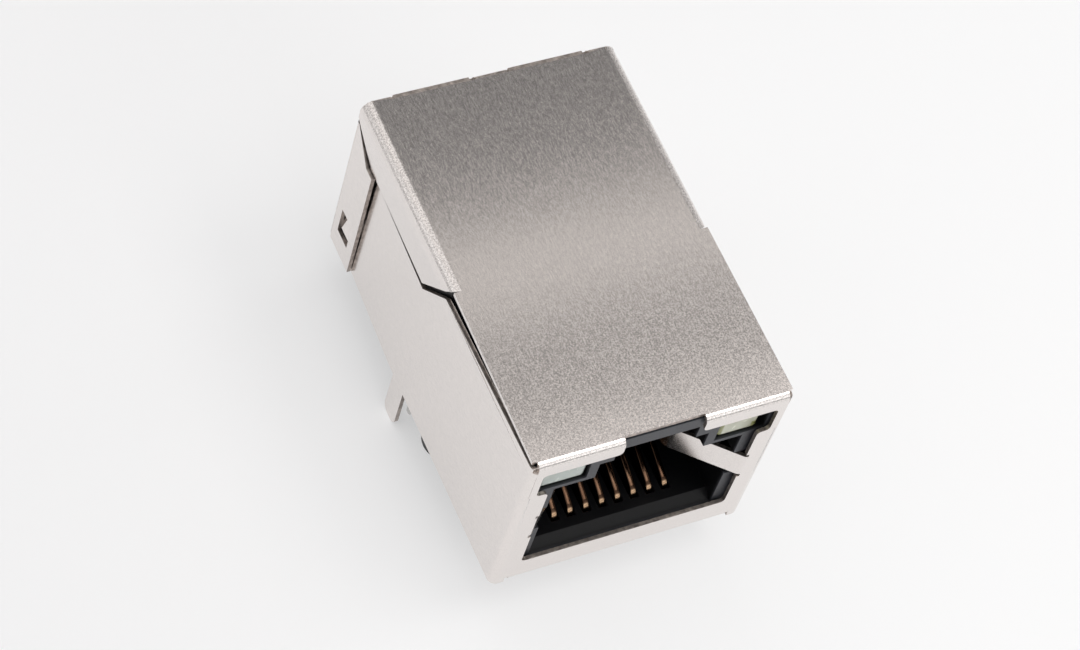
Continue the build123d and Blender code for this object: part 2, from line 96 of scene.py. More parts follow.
SHEET = 0.25  # thickness of the shield
HALF_WIDTH = 8.1
WALL_REACH = 7.5  # half width beyond which lie the walls with their lances
SHEET_REACH = 7.7  # half width beyond which lie the walls' sheet, the side flaps and the top plate's sides
CREASE_BOTTOM = 15.45  # depth of a wall's crease at the board
CREASE_SLOPE = 0.2587  # by which the crease comes forwards for each millimetre up
WALL_LEAN = 0.042  # inward slope of a wall behind its crease
PLATE_FLAP_SHARE = 0.7  # share of that lean that the lower edge of the top plate's side flap takes
PLATE_FLAP_LEAN = 0.25  # most that this share is taken of
PLATE_FLAP_HEIGHTS = (9.95, 12.65)  # of that flap's lower edge and of its bend
REAR_SEAM_DEPTHS = (14.5, 22.2)  # where the seam under that flap starts and ends
REAR_SEAM_ROOM = (0.13, 0.35)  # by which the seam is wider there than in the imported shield
REAR_SEAM_HEIGHT = 9.85  # within that seam
REAR_EDGE_FOOT = 9.6  # just below a wall's edge along it
SLANTED_SEAM = (12.5, 12.15, 1.1)  # depth and height of a point within the seam's slanted part, and its fall
SLANTED_END = 14.6
PLATE_FLAP_DEPTHS = (11.8, 25.0)  # just before and behind the top plate's side flap
WALL_REAR = 24.9  # depth to which a wall goes on under the rear cover's side flap
FLAP_FRONT = 22.2  # depth of the front edges of the rear cover's side flaps
LOCK_DEPTHS = (23.1, 24.1)  # of the openings of the snap locks
LOCK_HEIGHTS = (1.8, 3.5)
LOCK_ROOM = 0.2  # by which the flaps' windows are larger all round
ON_EDGE = 0.01  # within which a point lies on an edge
ON_SHEET = 0.005  # within which a point lies on a face of the sheet
TOP_SEAM_HEIGHT = 13.0  # within the seam between a wall and the top plate
TOP_SEAM_END = 11.9  # just before the top plate's side flap
SEAM_FALL = 0.6  # by which a wall's top edge drops towards that flap
SEAM_FALL_DEPTH = 11.5
TURN_ROWS = (12.25, 12.45, 12.6, 12.75, 12.87)  # heights at which a wall is cut to let its top edge curve
TURN_FOOT = 12.2  # height above which it turns in
TURN_RISE = 0.75  # rise over which it turns in fully
TURN_IN = 0.09  # by which it then stands further in
TURN_DEPTHS = (0.6, 12.3)  # between which it does
TOP_EDGE_FOOT = 12.7  # just below a wall's top edge
PLATE_SIDES = (7.9, 8.0)  # half widths just inside and outside the top plate's sides
PLATE_FOOT = 13.05  # just below the top plate
PLATE_STAND = 0.1  # by which its sides stand out at the front
PLATE_STAND_DEPTH = 11.7


# Sizes and colours that a user would change

def length(name, default, description):
    """A length property, its default in millimetres."""
    return FloatProperty(name=name, description=description, default=default * MM, min=0.0, unit="LENGTH",
                         precision=5)


def colour(name, default, description):
    """A colour property, its default in linear red, green and blue."""
    return FloatVectorProperty(name=name, description=description, default=default, min=0.0, max=1.0,
                               subtype="COLOR", size=3)


class JackSizes(bpy.types.PropertyGroup):
    """Sizes of the pieces that are made here."""
    sheet_edge: length("Sheet edge", 0.06, "Rounding of the shield's sheared edges")
    moulded_edge: length("Moulded edge", 0.09, "Rounding of the mouldings' edges")
    contact_width: length("Contact width", 0.36, "Width of a contact")
    contact_thickness: length("Contact thickness", 0.3, "Thickness of a contact")
    contact_bend: length("Contact bend", 0.6, "Radius of a contact's bends")
    lead_thickness: length("Lead thickness", 0.45, "Thickness of the lamps' square leads")
    lead_bend: length("Lead bend", 0.6, "Radius of a lead's bend")
    lamp_corner: length("Lamp corner", 0.3, "Radius of the lamps' corners")
    pin_taper: length("Pin taper", 0.5, "Length of a terminal pin's tapered tip")
    wire_diameter: length("Wire diameter", 0.27, "Diameter of the wire on the coils")
    wire_turns: IntProperty(name="Wire turns", description="Turns of wire on one coil", default=17, min=3,
                            max=40)
    sheet_grain: length("Sheet grain", 0.065, "Width of the plated sheet's grain")


class JackColours(bpy.types.PropertyGroup):
    """Colours of the finishes."""
    nickel: colour("Nickel", (0.80, 0.755, 0.73), "Plated sheet")
    sheared: colour("Sheared edge", (0.34, 0.30, 0.275), "Cut edges of the sheet")
    # Painted light and shade: the moulding colour is the lit front, and the far darker inside colour is the
    # same plastic painted as shade
    moulding: colour("Moulding", (0.050, 0.052, 0.060), "Black moulded housing, its front")
    inside: colour("Moulding inside", (0.006, 0.006, 0.007), "Black moulded housing behind its front")
    carrier: colour("Carrier", (0.035, 0.035, 0.038), "Contact carrier and case")
    gold: colour("Gold", (0.80, 0.53, 0.33), "Gold-flashed contacts")
    # Painted shade: a near-black colour for the contacts further back, standing for the shade inside the port
    shaded_bronze: colour("Bronze", (0.055, 0.030, 0.019), "Bare bronze behind the contacts' plating")
    resin_left: colour("Left lamp", (0.50, 0.56, 0.52), "Resin of the left lamp")
    resin_right: colour("Right lamp", (0.56, 0.57, 0.45), "Resin of the right lamp")
    tint: colour("Lamp tint", (0.22, 0.23, 0.05), "Olive parts inside the right lamp")
    tin: colour("Tin", (0.72, 0.71, 0.69), "Tinned leads and pins")
    laminate: colour("Laminate", (0.03, 0.16, 0.07), "Circuit board")
    ferrite: colour("Ferrite", (0.10, 0.10, 0.11), "Coil cores")
    copper: colour("Copper", (0.62, 0.26, 0.11), "Enamelled wire")
    ceramic: colour("Ceramic", (0.50, 0.36, 0.22), "Capacitor")
    floor: colour("Floor", (0.94, 0.94, 0.95), "Floor and backdrop")


def sizes():
    return bpy.context.scene.jack_sizes


def colours():
    return bpy.context.scene.jack_colours


# Surfaces as numpy grids, in millimetres until a mesh is made

def grid_faces(rows, columns, wrap_rows=False, wrap_columns=True):
    """Quads between a grid's neighbouring rows and columns. A wrapped side joins its last line to its
    first."""
    r = np.arange(rows if wrap_rows else rows - 1)[:, None]
    c = np.arange(columns if wrap_columns else columns - 1)[None, :]
    c_next = (c + 1) % columns
    here, ahead = r * columns, (r + 1) % rows * columns
    return np.stack([here + c, here + c_next, ahead + c_next, ahead + c], -1).reshape(-1, 4)


def new_mesh(name, grid, wrap_rows=False):
    """Mesh of a closed tube: a grid of points in millimetres, its columns wrapped, and its rows wrapped or
    else closed by one face at each end."""
    rows, columns = grid.shape[:2]
    faces = grid_faces(rows, columns, wrap_rows).tolist()
    if not wrap_rows:
        faces.append(np.arange(columns)[::-1].tolist())
        faces.append((np.arange(columns) + (rows - 1) * columns).tolist())
    mesh = bpy.data.meshes.new(name)
    mesh.from_pydata((grid.reshape(-1, 3) * MM).tolist(), [], faces)
    tidy = bmesh.new()
    tidy.from_mesh(mesh)
    bmesh.ops.recalc_face_normals(tidy, faces=tidy.faces)
    tidy.to_mesh(mesh)
    tidy.free()
    return mesh


def shade(mesh, angle):
    """Smooth shading with a sharp edge wherever two faces meet at more than the angle in degrees."""
    mesh.shade_smooth()
    mesh.set_sharp_from_angle(angle=radians(angle))


def add_piece(name, mesh, material, node, angle=40):
    """Link a finished mesh as a piece that rides on the root and stands for the named node."""
    shade(mesh, angle)
    piece = bpy.data.objects.new(name, mesh)
    bpy.context.scene.collection.objects.link(piece)
    mesh.materials.clear()
    mesh.materials.append(material)
    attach(piece, "root")
    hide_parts(node)
    return piece


def rounded_rectangle(width, height, radius, steps=4):
    """Closed outline: four corner centres, each plus the radius times the cosine and sine of a quarter
    turn."""
    turn = np.linspace(0, pi / 2, steps + 1)[None, :] + np.arange(4)[:, None] * pi / 2
    signs = np.array([(1, 1), (-1, 1), (-1, -1), (1, -1)])
    corners = signs * (np.array([width, height]) / 2 - radius)
    return (corners[:, None] + radius * np.stack([np.cos(turn), np.sin(turn)], -1)).reshape(-1, 2)


def bent_route(corners, radius, steps=8):
    """Middle line of a bent wire: its two ends, and at each corner an arc that touches both runs, as the
    centre plus the radius times a unit vector that turns evenly from one run's normal to the other's."""
    corners = np.asarray(corners, float)
    line = [corners[:1]]
    for before, here, after in zip(corners[:-2], corners[1:-1], corners[2:]):
        a = (before - here) / np.linalg.norm(before - here)
        b = (after - here) / np.linalg.norm(after - here)
        half = np.arccos(np.clip(a @ b, -1, 1)) / 2
        centre = here + (a + b) / np.linalg.norm(a + b) * radius / np.sin(half)
        first = here + a * radius / np.tan(half) - centre
        last = here + b * radius / np.tan(half) - centre
        sweep = np.linspace(0, pi - 2 * half, steps + 1)[:, None]
        across = last - first * (first @ last) / radius**2
        across *= radius / np.linalg.norm(across)
        line.append(centre + first * np.cos(sweep) + across * np.sin(sweep))
    line.append(corners[-1:])
    return np.concatenate(line)


def carried(route, profile, scale):
    """A profile carried along a route of depths and heights: each point is the route's point plus the
    profile's width along x and its height along the route's normal, both times the scale there."""
    ahead = np.gradient(route, axis=0)
    ahead /= np.linalg.norm(ahead, axis=1, keepdims=True)
    normal = np.stack([-ahead[:, 1], ahead[:, 0]], -1)
    x = scale[:, None] * profile[None, :, 0]
    offset = (scale[:, None] * profile[None, :, 1])[..., None] * normal[:, None]
    place = route[:, None] + offset
    return np.concatenate([x[..., None], place], -1)


def wire_grid(corners, bend, thickness, breadth, ends=0.06):
    """A flat wire with rounded edges along a bent route of depths and heights, its ends drawn in a little."""
    route = bent_route(corners, bend)
    first, last = route[1] - route[0], route[-2] - route[-1]
    first, last = first / np.linalg.norm(first) * ends, last / np.linalg.norm(last) * ends
    route = np.concatenate([route[:1], route[:1] + first, route[1:-1], route[-1:] + last, route[-1:]])
    scale = np.ones(len(route))
    scale[[0, -1]] = 1 - 2 * ends / breadth
    grid = carried(route, rounded_rectangle(breadth, thickness, 0.22 * thickness, 3), scale)
    grid[..., 1] -= SETBACK
    return grid


def block_grid(low, high, radius, steps=4):
    """A block with rounded edges: a rounded rectangle carried upwards, drawn in by a quarter circle at both
    ends."""
    low, high = np.asarray(low, float), np.asarray(high, float)
    quarter = np.linspace(0, pi / 2, steps + 1)
    inset = radius * np.concatenate([1 - np.sin(quarter), 1 - np.sin(quarter[::-1])])
    rise = radius * (1 - np.cos(quarter))
    heights = np.concatenate([low[2] + rise, high[2] - rise[::-1]])
    size = (high - low)[:2]
    outline = rounded_rectangle(*size, radius, steps)
    shrink = 1 - 2 * inset[:, None] / size[None, :]
    flat = outline[None] * shrink[:, None] + (low + high)[:2] / 2
    upright = np.broadcast_to(heights[:, None, None], (*flat.shape[:2], 1))
    return np.concatenate([flat, upright], -1)


def ring_grid(centre, outside, bore, length, radius=0.18, steps=48):
    """A core: a rounded rectangle of the ring's section turned about the x axis through the centre."""
    section = rounded_rectangle(length, outside - bore, radius)
    turn = np.linspace(0, 2 * pi, steps, endpoint=False)[:, None]
    reach = section[None, :, 1] + (outside + bore) / 2
    y, z = reach * np.cos(turn), reach * np.sin(turn)
    return np.stack([np.broadcast_to(section[None, :, 0], y.shape), y, z], -1) + centre


def winding_grid(centre, outside, bore, length, diameter, turns, gap, per_turn=28):
    """Wire wound on a core: its middle line goes round a squared circle about the core's section while the
    section goes round the ring, from one side of the gap at the top to the other. The wire is a circle
    carried along it."""
    count = turns * per_turn
    share = np.linspace(0, 1, count)
    around = pi / 2 + gap / 2 + share * (2 * pi - gap)
    spin = share * turns * 2 * pi

    def squared(wave, reach):
        return np.sign(wave) * np.abs(wave) ** 0.45 * reach

    x = squared(np.sin(spin), (length + diameter) / 2)
    reach = (outside + bore) / 2 + squared(np.cos(spin), (outside - bore + diameter) / 2)
    line = np.stack([x, reach * np.cos(around), reach * np.sin(around)], -1) + centre
    ahead = np.gradient(line, axis=0)
    ahead /= np.linalg.norm(ahead, axis=1, keepdims=True)
    outward = np.stack([np.zeros(count), np.cos(around), np.sin(around)], -1)
    sideways = np.stack([np.sin(spin), outward[:, 1] * np.cos(spin), outward[:, 2] * np.cos(spin)], -1)
    sideways -= (sideways * ahead).sum(1, keepdims=True) * ahead
    sideways /= np.linalg.norm(sideways, axis=1, keepdims=True)
    third = np.cross(ahead, sideways)
    turn = np.linspace(0, 2 * pi, 8, endpoint=False)[:, None]
    circle = np.cos(turn) * sideways[:, None] + np.sin(turn) * third[:, None]
    return line[:, None] + diameter / 2 * circle


def measured(work):
    """A mesh's points in millimetres, and for each its side, half width, depth and height."""
    places = np.array([v.co[:] for v in work.verts]) / MM
    return places, np.sign(places[:, 0]), np.abs(places[:, 0]), places[:, 1] + SETBACK, places[:, 2]


def put_back(work, places):
    """Move a mesh's points to places in millimetres."""
    for vertex, place in zip(work.verts, places):
        vertex.co = place * MM


def cut_faces(work, faces, place, normal, dist=0.0):
    """Cut some faces of a mesh by a plane."""
    parts = [*faces, *(e for f in faces for e in f.edges), *(v for f in faces for v in f.verts)]
    bmesh.ops.bisect_plane(work, geom=list(dict.fromkeys(parts)), dist=dist, plane_co=place, plane_no=normal)


def mark_sheared(work, sheet):
    """Give the second material to each face with more than a sheet's thickness behind it, a cut edge."""
    tree = BVHTree.FromBMesh(work)
    for face in work.faces:
        start = face.calc_center_median() - face.normal * 1e-6
        distance = tree.ray_cast(start, -face.normal)[3]
        face.material_index = int(distance is None or distance > CUT_DEPTH * sheet)


def softened(node, name, materials, edge, angle, sheet=None, reshape=None):
    """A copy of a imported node's mesh, its doubles merged and its flat faces joined, with its edges rounded. A
    sheet's cut edges take the second material, and its points may be moved by a function."""
    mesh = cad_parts[node].data.copy()
    mesh.name = name
    work = bmesh.new()
    work.from_mesh(mesh)
    bmesh.ops.remove_doubles(work, verts=work.verts, dist=SAME_POINT)
    for face in work.faces:
        face.material_index = 0
    if sheet:
        mark_sheared(work, sheet)
    bmesh.ops.dissolve_limit(work, angle_limit=radians(FLAT_ANGLE), verts=work.verts, edges=work.edges,
                             delimit={"MATERIAL"})
    if reshape:
        reshape(work)
    work.to_mesh(mesh)
    work.free()
    which = np.zeros(len(mesh.polygons), np.int32)
    mesh.polygons.foreach_get("material_index", which)
    piece = add_piece(name, mesh, materials[0], node, angle)
    for material in materials[1:]:
        mesh.materials.append(material)
    mesh.polygons.foreach_set("material_index", which)
    bevel = piece.modifiers.new("Rounded edges", "BEVEL")
    bevel.width = edge
    bevel.segments = ROUND_STEPS
    bevel.limit_method = "ANGLE"
    bevel.angle_limit = radians(angle)
    bevel.use_clamp_overlap = True
    flat = piece.modifiers.new("Flat faces", "WEIGHTED_NORMAL")
    flat.weight = 100
    flat.keep_sharp = True
    return piece


def node_box(node):
    """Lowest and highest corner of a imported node, in millimetres."""
    low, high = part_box(node)
    return np.array(low) / MM, np.array(high) / MM


def add_bent(node, grid, finish):
    """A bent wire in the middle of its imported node's width."""
    low, high = node_box(node)
    moved = grid + np.array([(low[0] + high[0]) / 2, 0, 0])
    add_piece(f"bent_{node}", new_mesh(node, moved), finish, node)


# Finishes, and where they change along an axis, in metres

PLATE_FADE_Z = (0.0129, 0.0132)  # from the walls' finish to the top plate's
SPARKLE_FADE_Y = (-0.008, 0.002)  # from sparkle to grain
BEND_FADES = (("Z", 0.0129, 0.01305), ("Y", 0.0007, 0.0009))  # onto the bends over the side flaps
BEND_FADE_REACH = (0.00738, 0.00752)
# Painted shade begins just behind the housing's front
PAINTED_SHADE_FADE_Y = (-0.01052, -0.01035)  # just behind the housing's front
# Where the contacts' gold ends and their painted shade begins
GOLD_SHADE_FADE_Y = (-0.00888, -0.0087)  # where the contacts' gold ends
CAP_FADE = 0.00003


class Finish:
    """A material under construction: its tree, its Principled shader, and short ways to add and join
    nodes."""

    def __init__(self, name, base, roughness, **values):
        self.base = base
        self.material = bpy.data.materials.new(name)
        self.material.use_nodes = True
        self.tree = self.material.node_tree
        self.shader = self.tree.nodes["Principled BSDF"]
        self.set(self.shader, {"Base Color": (*base, 1), "Roughness": roughness, **values})
        self.place = self.node("ShaderNodeTexCoord").outputs["Object"]

    def set(self, node, values):
        for name, value in values.items():
            if isinstance(value, bpy.types.NodeSocket):
                self.tree.links.new(value, node.inputs[name])
            else:
                node.inputs[name].default_value = value

    def node(self, kind, values=None, **settings):
        made = self.tree.nodes.new(kind)
        for name, value in settings.items():
            setattr(made, name, value)
        self.set(made, values or {})
        return made

    def stretched(self, scale):
        """Object coordinates with each axis multiplied."""
        return self.node("ShaderNodeMapping", {"Vector": self.place, "Scale": scale}).outputs[0]

    def noise(self, size, detail=2.0, rough=0.5, vector=None):
        """Soft noise whose features are about this many millimetres wide, from 0 to 1."""
        values = {"Vector": vector or self.place, "Scale": 1 / (size * MM), "Detail": detail,
                  "Roughness": rough}
        return self.node("ShaderNodeTexNoise", values).outputs["Fac"]

    def spread(self, value, low, high, to_low=0.0, to_high=1.0, smooth=False):
        """A value from one range laid onto another and held at its ends."""
        kind = "SMOOTHSTEP" if smooth else "LINEAR"
        values = {"Value": value, "From Min": low, "From Max": high, "To Min": to_low, "To Max": to_high}
        return self.node("ShaderNodeMapRange", values, interpolation_type=kind).outputs["Result"]

    def sum(self, first, second, operation="ADD"):
        """Two values, added unless another operation is named."""
        made = self.node("ShaderNodeMath", operation=operation)
        for index, value in enumerate((first, second)):
            if isinstance(value, bpy.types.NodeSocket):
                self.tree.links.new(value, made.inputs[index])
            else:
                made.inputs[index].default_value = value
        return made.outputs[0]

    def mix(self, share, first, second):
        """One colour fading into another."""
        made = self.node("ShaderNodeMix", data_type="RGBA")
        for socket, value in ((made.inputs[0], share), (made.inputs[6], first), (made.inputs[7], second)):
            if isinstance(value, bpy.types.NodeSocket):
                self.tree.links.new(value, socket)
            else:
                socket.default_value = value if isinstance(value, float) else (*value, 1)
        return made.outputs[2]

    def tones(self, value, low, high, dark, light):
        """The finish's own colour times a factor that goes from dark to light over a range of a value."""
        return self.mix(self.spread(value, low, high), tinted(self.base, dark), tinted(self.base, light))

    def look(self, tone, rough):
        self.set(self.shader, {"Base Color": tone, "Roughness": rough})

    def axis(self, letter):
        """One of the Object coordinates, in metres."""
        return self.node("ShaderNodeSeparateXYZ", {"Vector": self.place}).outputs[letter]

    def bump(self, height, depth, strength=1.0, normal=None):
        """Raise the surface by a height from 0 to 1 times a depth in millimetres."""
        values = {"Height": height, "Distance": depth * MM, "Strength": strength}
        if normal:
            values["Normal"] = normal
        made = self.node("ShaderNodeBump", values).outputs[0]
        self.set(self.shader, {"Normal": made})
        return made


def tinted(base, factor):
    """A colour made lighter or darker by a factor."""
    return tuple(min(1.0, part * factor) for part in base)


def sheared_finish():
    """Cut edge of the sheet: dull torn metal with fine streaks across it and a few burnished patches."""
    base = tuple(colours().sheared)
    finish = Finish("sheared_edge", base, 0.42, Metallic=1.0)
    streak = finish.noise(0.06, 3.0, 0.6, finish.stretched((1, 1, 0.4)))
    patch = finish.noise(0.35, 3.0, 0.6)
    tone = finish.tones(patch, 0.35, 0.7, 0.8, 1.7)
    rough = finish.spread(streak, 0.3, 0.7, 0.32, 0.55)
    finish.look(tone, rough)
    finish.bump(streak, 0.012, 0.7)
    return finish.material


def nickel_finish():
    """Satin plated sheet: fine short grain along the depth, a crystalline sparkle and broad soft waves. The
    side bends, where the plating stretched, are crazed and brighter."""
    base = tuple(colours().nickel)
    width = sizes().sheet_grain / MM
    finish = Finish("nickel_sheet", base, 0.25, Metallic=1.0)
    grain = finish.noise(width, 2.0, 0.6, finish.stretched((1, 0.22, 1)))
    sparkle = finish.noise(1.4 * width, 2.0, 0.6)
    top = finish.spread(finish.axis("Z"), *PLATE_FADE_Z)
    cloud = finish.noise(5.0, 2.0)
    front = finish.spread(finish.axis("Y"), *SPARKLE_FADE_Y, 0.75, 0.35, True)
    texture = finish.sum(finish.sum(grain, finish.sum(1.0, front, "SUBTRACT"), "MULTIPLY"),
                         finish.sum(sparkle, front, "MULTIPLY"))
    reach = finish.sum(finish.axis("X"), 0.0, "ABSOLUTE")
    bent = finish.spread(reach, *BEND_FADE_REACH)
    for letter, start, end in BEND_FADES:
        bent = finish.sum(bent, finish.spread(finish.axis(letter), start, end), "MULTIPLY")
    fine = finish.tones(texture, 0.35, 0.65, 0.90, 1.07)
    lively = finish.tones(texture, 0.4, 0.6, 0.72, 1.22)
    plain = finish.tones(grain, 0.35, 0.65, 0.95, 1.03)
    tone = finish.mix(top, plain, finish.mix(front, fine, lively))
    crazed = finish.tones(sparkle, 0.4, 0.6, 0.72, 1.2)
    toned = finish.mix(finish.sum(bent, 0.8, "MULTIPLY"), tone, crazed)
    rough = finish.sum(finish.spread(texture, 0.35, 0.65, 0.15, 0.22), finish.sum(bent, 0.1, "MULTIPLY"))
    finish.look(toned, rough)
    waves = finish.bump(cloud, 0.03, 0.25)
    finish.bump(texture, 0.002, 0.5, waves)
    return finish.material


def moulding_finish(name, base, rough, grain=0.09, inside=None):
    """Moulded plastic with a fine spark-eroded texture, faint flow clouds and rubbed patches. It may be
    painted darker behind its front face, a painted shade for the dark inside of the port."""
    finish = Finish(name, base, rough)
    finish.set(finish.shader, {"IOR": 1.5, "Specular IOR Level": 0.25})
    fine = finish.noise(grain, 3.0, 0.6)
    cloud = finish.noise(2.4, 3.0)
    tone = finish.tones(cloud, 0.3, 0.7, 0.85, 1.25)
    # Painted shade: behind the front face the plastic takes the much darker inside colour
    if inside:
        tone = finish.mix(finish.spread(finish.axis("Y"), *PAINTED_SHADE_FADE_Y), tone, inside)
    roughness = finish.sum(finish.spread(fine, 0.3, 0.7, rough - 0.07, rough + 0.07),
                           finish.spread(cloud, 0.3, 0.7, -0.04, 0.04))
    finish.look(tone, roughness)
    finish.bump(fine, 0.01, 0.5)
    return finish.material


def contact_finish():
    """Gold flash over bronze: bright at the front bend, and further back, past a patchy edge, a near-black
    painted shade for the contacts' part inside the port, with drawn lines along it."""
    gold, shaded_bronze = tuple(colours().gold), tuple(colours().shaded_bronze)
    finish = Finish("gold_contact", gold, 0.14, Metallic=1.0)
    patchy_edge = finish.noise(0.5, 3.0, 0.6, finish.stretched((1, 0.35, 1)))
    line = finish.noise(0.06, 2.0, 0.5, finish.stretched((1, 0.08, 1)))
    # Painted shade: behind this depth the contacts turn near-black, as the shade inside the port
    back = finish.spread(finish.axis("Y"), *GOLD_SHADE_FADE_Y, 0.0, 1.0, True)
    share = finish.sum(back, finish.spread(patchy_edge, 0.2, 0.6, 0.93, 1.0), "MULTIPLY")
    finish.look(finish.mix(share, gold, shaded_bronze),
                finish.spread(line, 0.3, 0.7, 0.1, 0.19))
    finish.bump(line, 0.001, 0.15)
    return finish.material


def tin_finish():
    """Dull hot-dipped tin: soft runs along the wire and small crystals."""
    base = tuple(colours().tin)
    finish = Finish("tinned_lead", base, 0.32, Metallic=1.0)
    crystal = finish.noise(0.22, 3.0, 0.6)
    run = finish.noise(0.6, 2.0, 0.5, finish.stretched((1, 1, 0.25)))
    tone = finish.tones(run, 0.3, 0.7, 0.86, 1.08)
    rough = finish.spread(crystal, 0.3, 0.7, 0.24, 0.42)
    finish.look(tone, rough)
    finish.bump(run, 0.02, 0.4)
    return finish.material


def lamp_finish(name, base, box, tint=None):
    """Cloudy clear resin, lighter at its foot with a painted glow; the right one shows olive parts near its
    front.
    """
    low, high = box
    finish = Finish(name, base, 0.22)
    finish.set(finish.shader, {
        "Subsurface Weight": 0.25, "Subsurface Radius": (1.0, 1.0, 0.9), "Subsurface Scale": 0.0006,
        "Coat Weight": 0.35, "Coat Roughness": 0.08, "IOR": 1.5,
    })
    haze = finish.noise(0.8, 2.0)

    def fade(letter, side, start, end, kept=(1.0, 0.0)):
        """A fade along an axis between two distances in millimetres from a side of the lamp."""
        return finish.spread(finish.axis(letter), (side + start) * MM, (side + end) * MM, *kept, True)

    # Painted glow: the lamp is lighter and greener at its foot
    foot = fade("Z", low[2], 0.08, 0.26)
    tone = finish.tones(haze, 0.3, 0.7, 0.93, 1.06)
    painted_glow = tuple(min(1, part * lift) for part, lift in zip(base, (1.18, 1.3, 1.08)))
    tone = finish.mix(finish.sum(foot, 0.8, "MULTIPLY"), tone, painted_glow)
    if tint:
        strip = fade("X", low[0], 0.24, 0.34)
        right = fade("X", high[0], -0.9, -0.8, (0.0, 1.0))
        under = fade("Z", low[2], 0.72, 0.82)
        patch = finish.sum(finish.sum(right, under, "MULTIPLY"), strip, "MAXIMUM")
        tone = finish.mix(finish.sum(patch, 0.85, "MULTIPLY"), tone, tint)
    finish.look(tone, finish.spread(haze, 0.3, 0.7, 0.18, 0.3))
    finish.bump(haze, 0.02, 0.25)
    return finish.material


def laminate_finish():
    """Solder mask over glass cloth: a fine square weave shows through, and broad copper areas lighten it."""
    base = tuple(colours().laminate)
    finish = Finish("board_laminate", base, 0.35)
    across, along = (finish.node("ShaderNodeTexWave", {"Vector": finish.place, "Scale": 500.0},
                                 bands_direction=letter).outputs["Fac"] for letter in "XY")
    weave = finish.sum(across, along, "MULTIPLY")
    copper = finish.spread(finish.noise(2.2, 0.0), 0.48, 0.52)
    tone = finish.mix(copper, base, tinted(base, 1.9))
    finish.look(tone, finish.spread(weave, 0.0, 1.0, 0.3, 0.42))
    lift = finish.bump(copper, 0.03, 0.6)
    finish.bump(weave, 0.01, 0.4, lift)
    return finish.material


def ferrite_finish():
    """Sintered ferrite: dark grains with a dull sparkle."""
    base = tuple(colours().ferrite)
    finish = Finish("ferrite", base, 0.55)
    grain = finish.noise(0.06, 3.0, 0.7)
    finish.look(finish.tones(grain, 0.3, 0.7, 0.7, 1.5),
                finish.spread(grain, 0.3, 0.7, 0.42, 0.68))
    finish.bump(grain, 0.012, 0.7)
    return finish.material


def wire_finish():
    """Enamelled copper: a clear coat over drawn wire whose tone drifts a little from turn to turn."""
    base = tuple(colours().copper)
    finish = Finish("magnet_wire", base, 0.25, Metallic=1.0)
    finish.set(finish.shader, {"Coat Weight": 0.5, "Coat Roughness": 0.1})
    drift = finish.noise(0.7, 2.0)
    fine = finish.noise(0.05, 2.0)
    finish.look(finish.tones(drift, 0.3, 0.7, 0.75, 1.15),
                finish.spread(fine, 0.3, 0.7, 0.2, 0.34))
    return finish.material


def chip_finish(name, body, box, cap):
    """A fired chip part: a speckled body between two tinned end caps."""
    low, high = box
    finish = Finish(name, body, 0.4)
    speck = finish.noise(0.07, 3.0, 0.7)
    tone = finish.tones(speck, 0.3, 0.7, 0.85, 1.15)
    middle = (low[0] + high[0]) / 2 * MM
    from_middle = finish.sum(finish.sum(finish.axis("X"), middle, "SUBTRACT"), 0, "ABSOLUTE")
    edge = (high[0] - low[0]) / 2 * MM - cap * MM
    metal = finish.spread(from_middle, edge, edge + CAP_FADE)
    finish.set(finish.shader, {
        "Base Color": finish.mix(metal, tone, tuple(colours().tin)),
        "Metallic": metal,
        "Roughness": finish.spread(speck, 0.3, 0.7, 0.3, 0.45),
    })
    finish.bump(speck, 0.008, 0.5)
    return finish.material


# Operators, one for each piece or group of like pieces

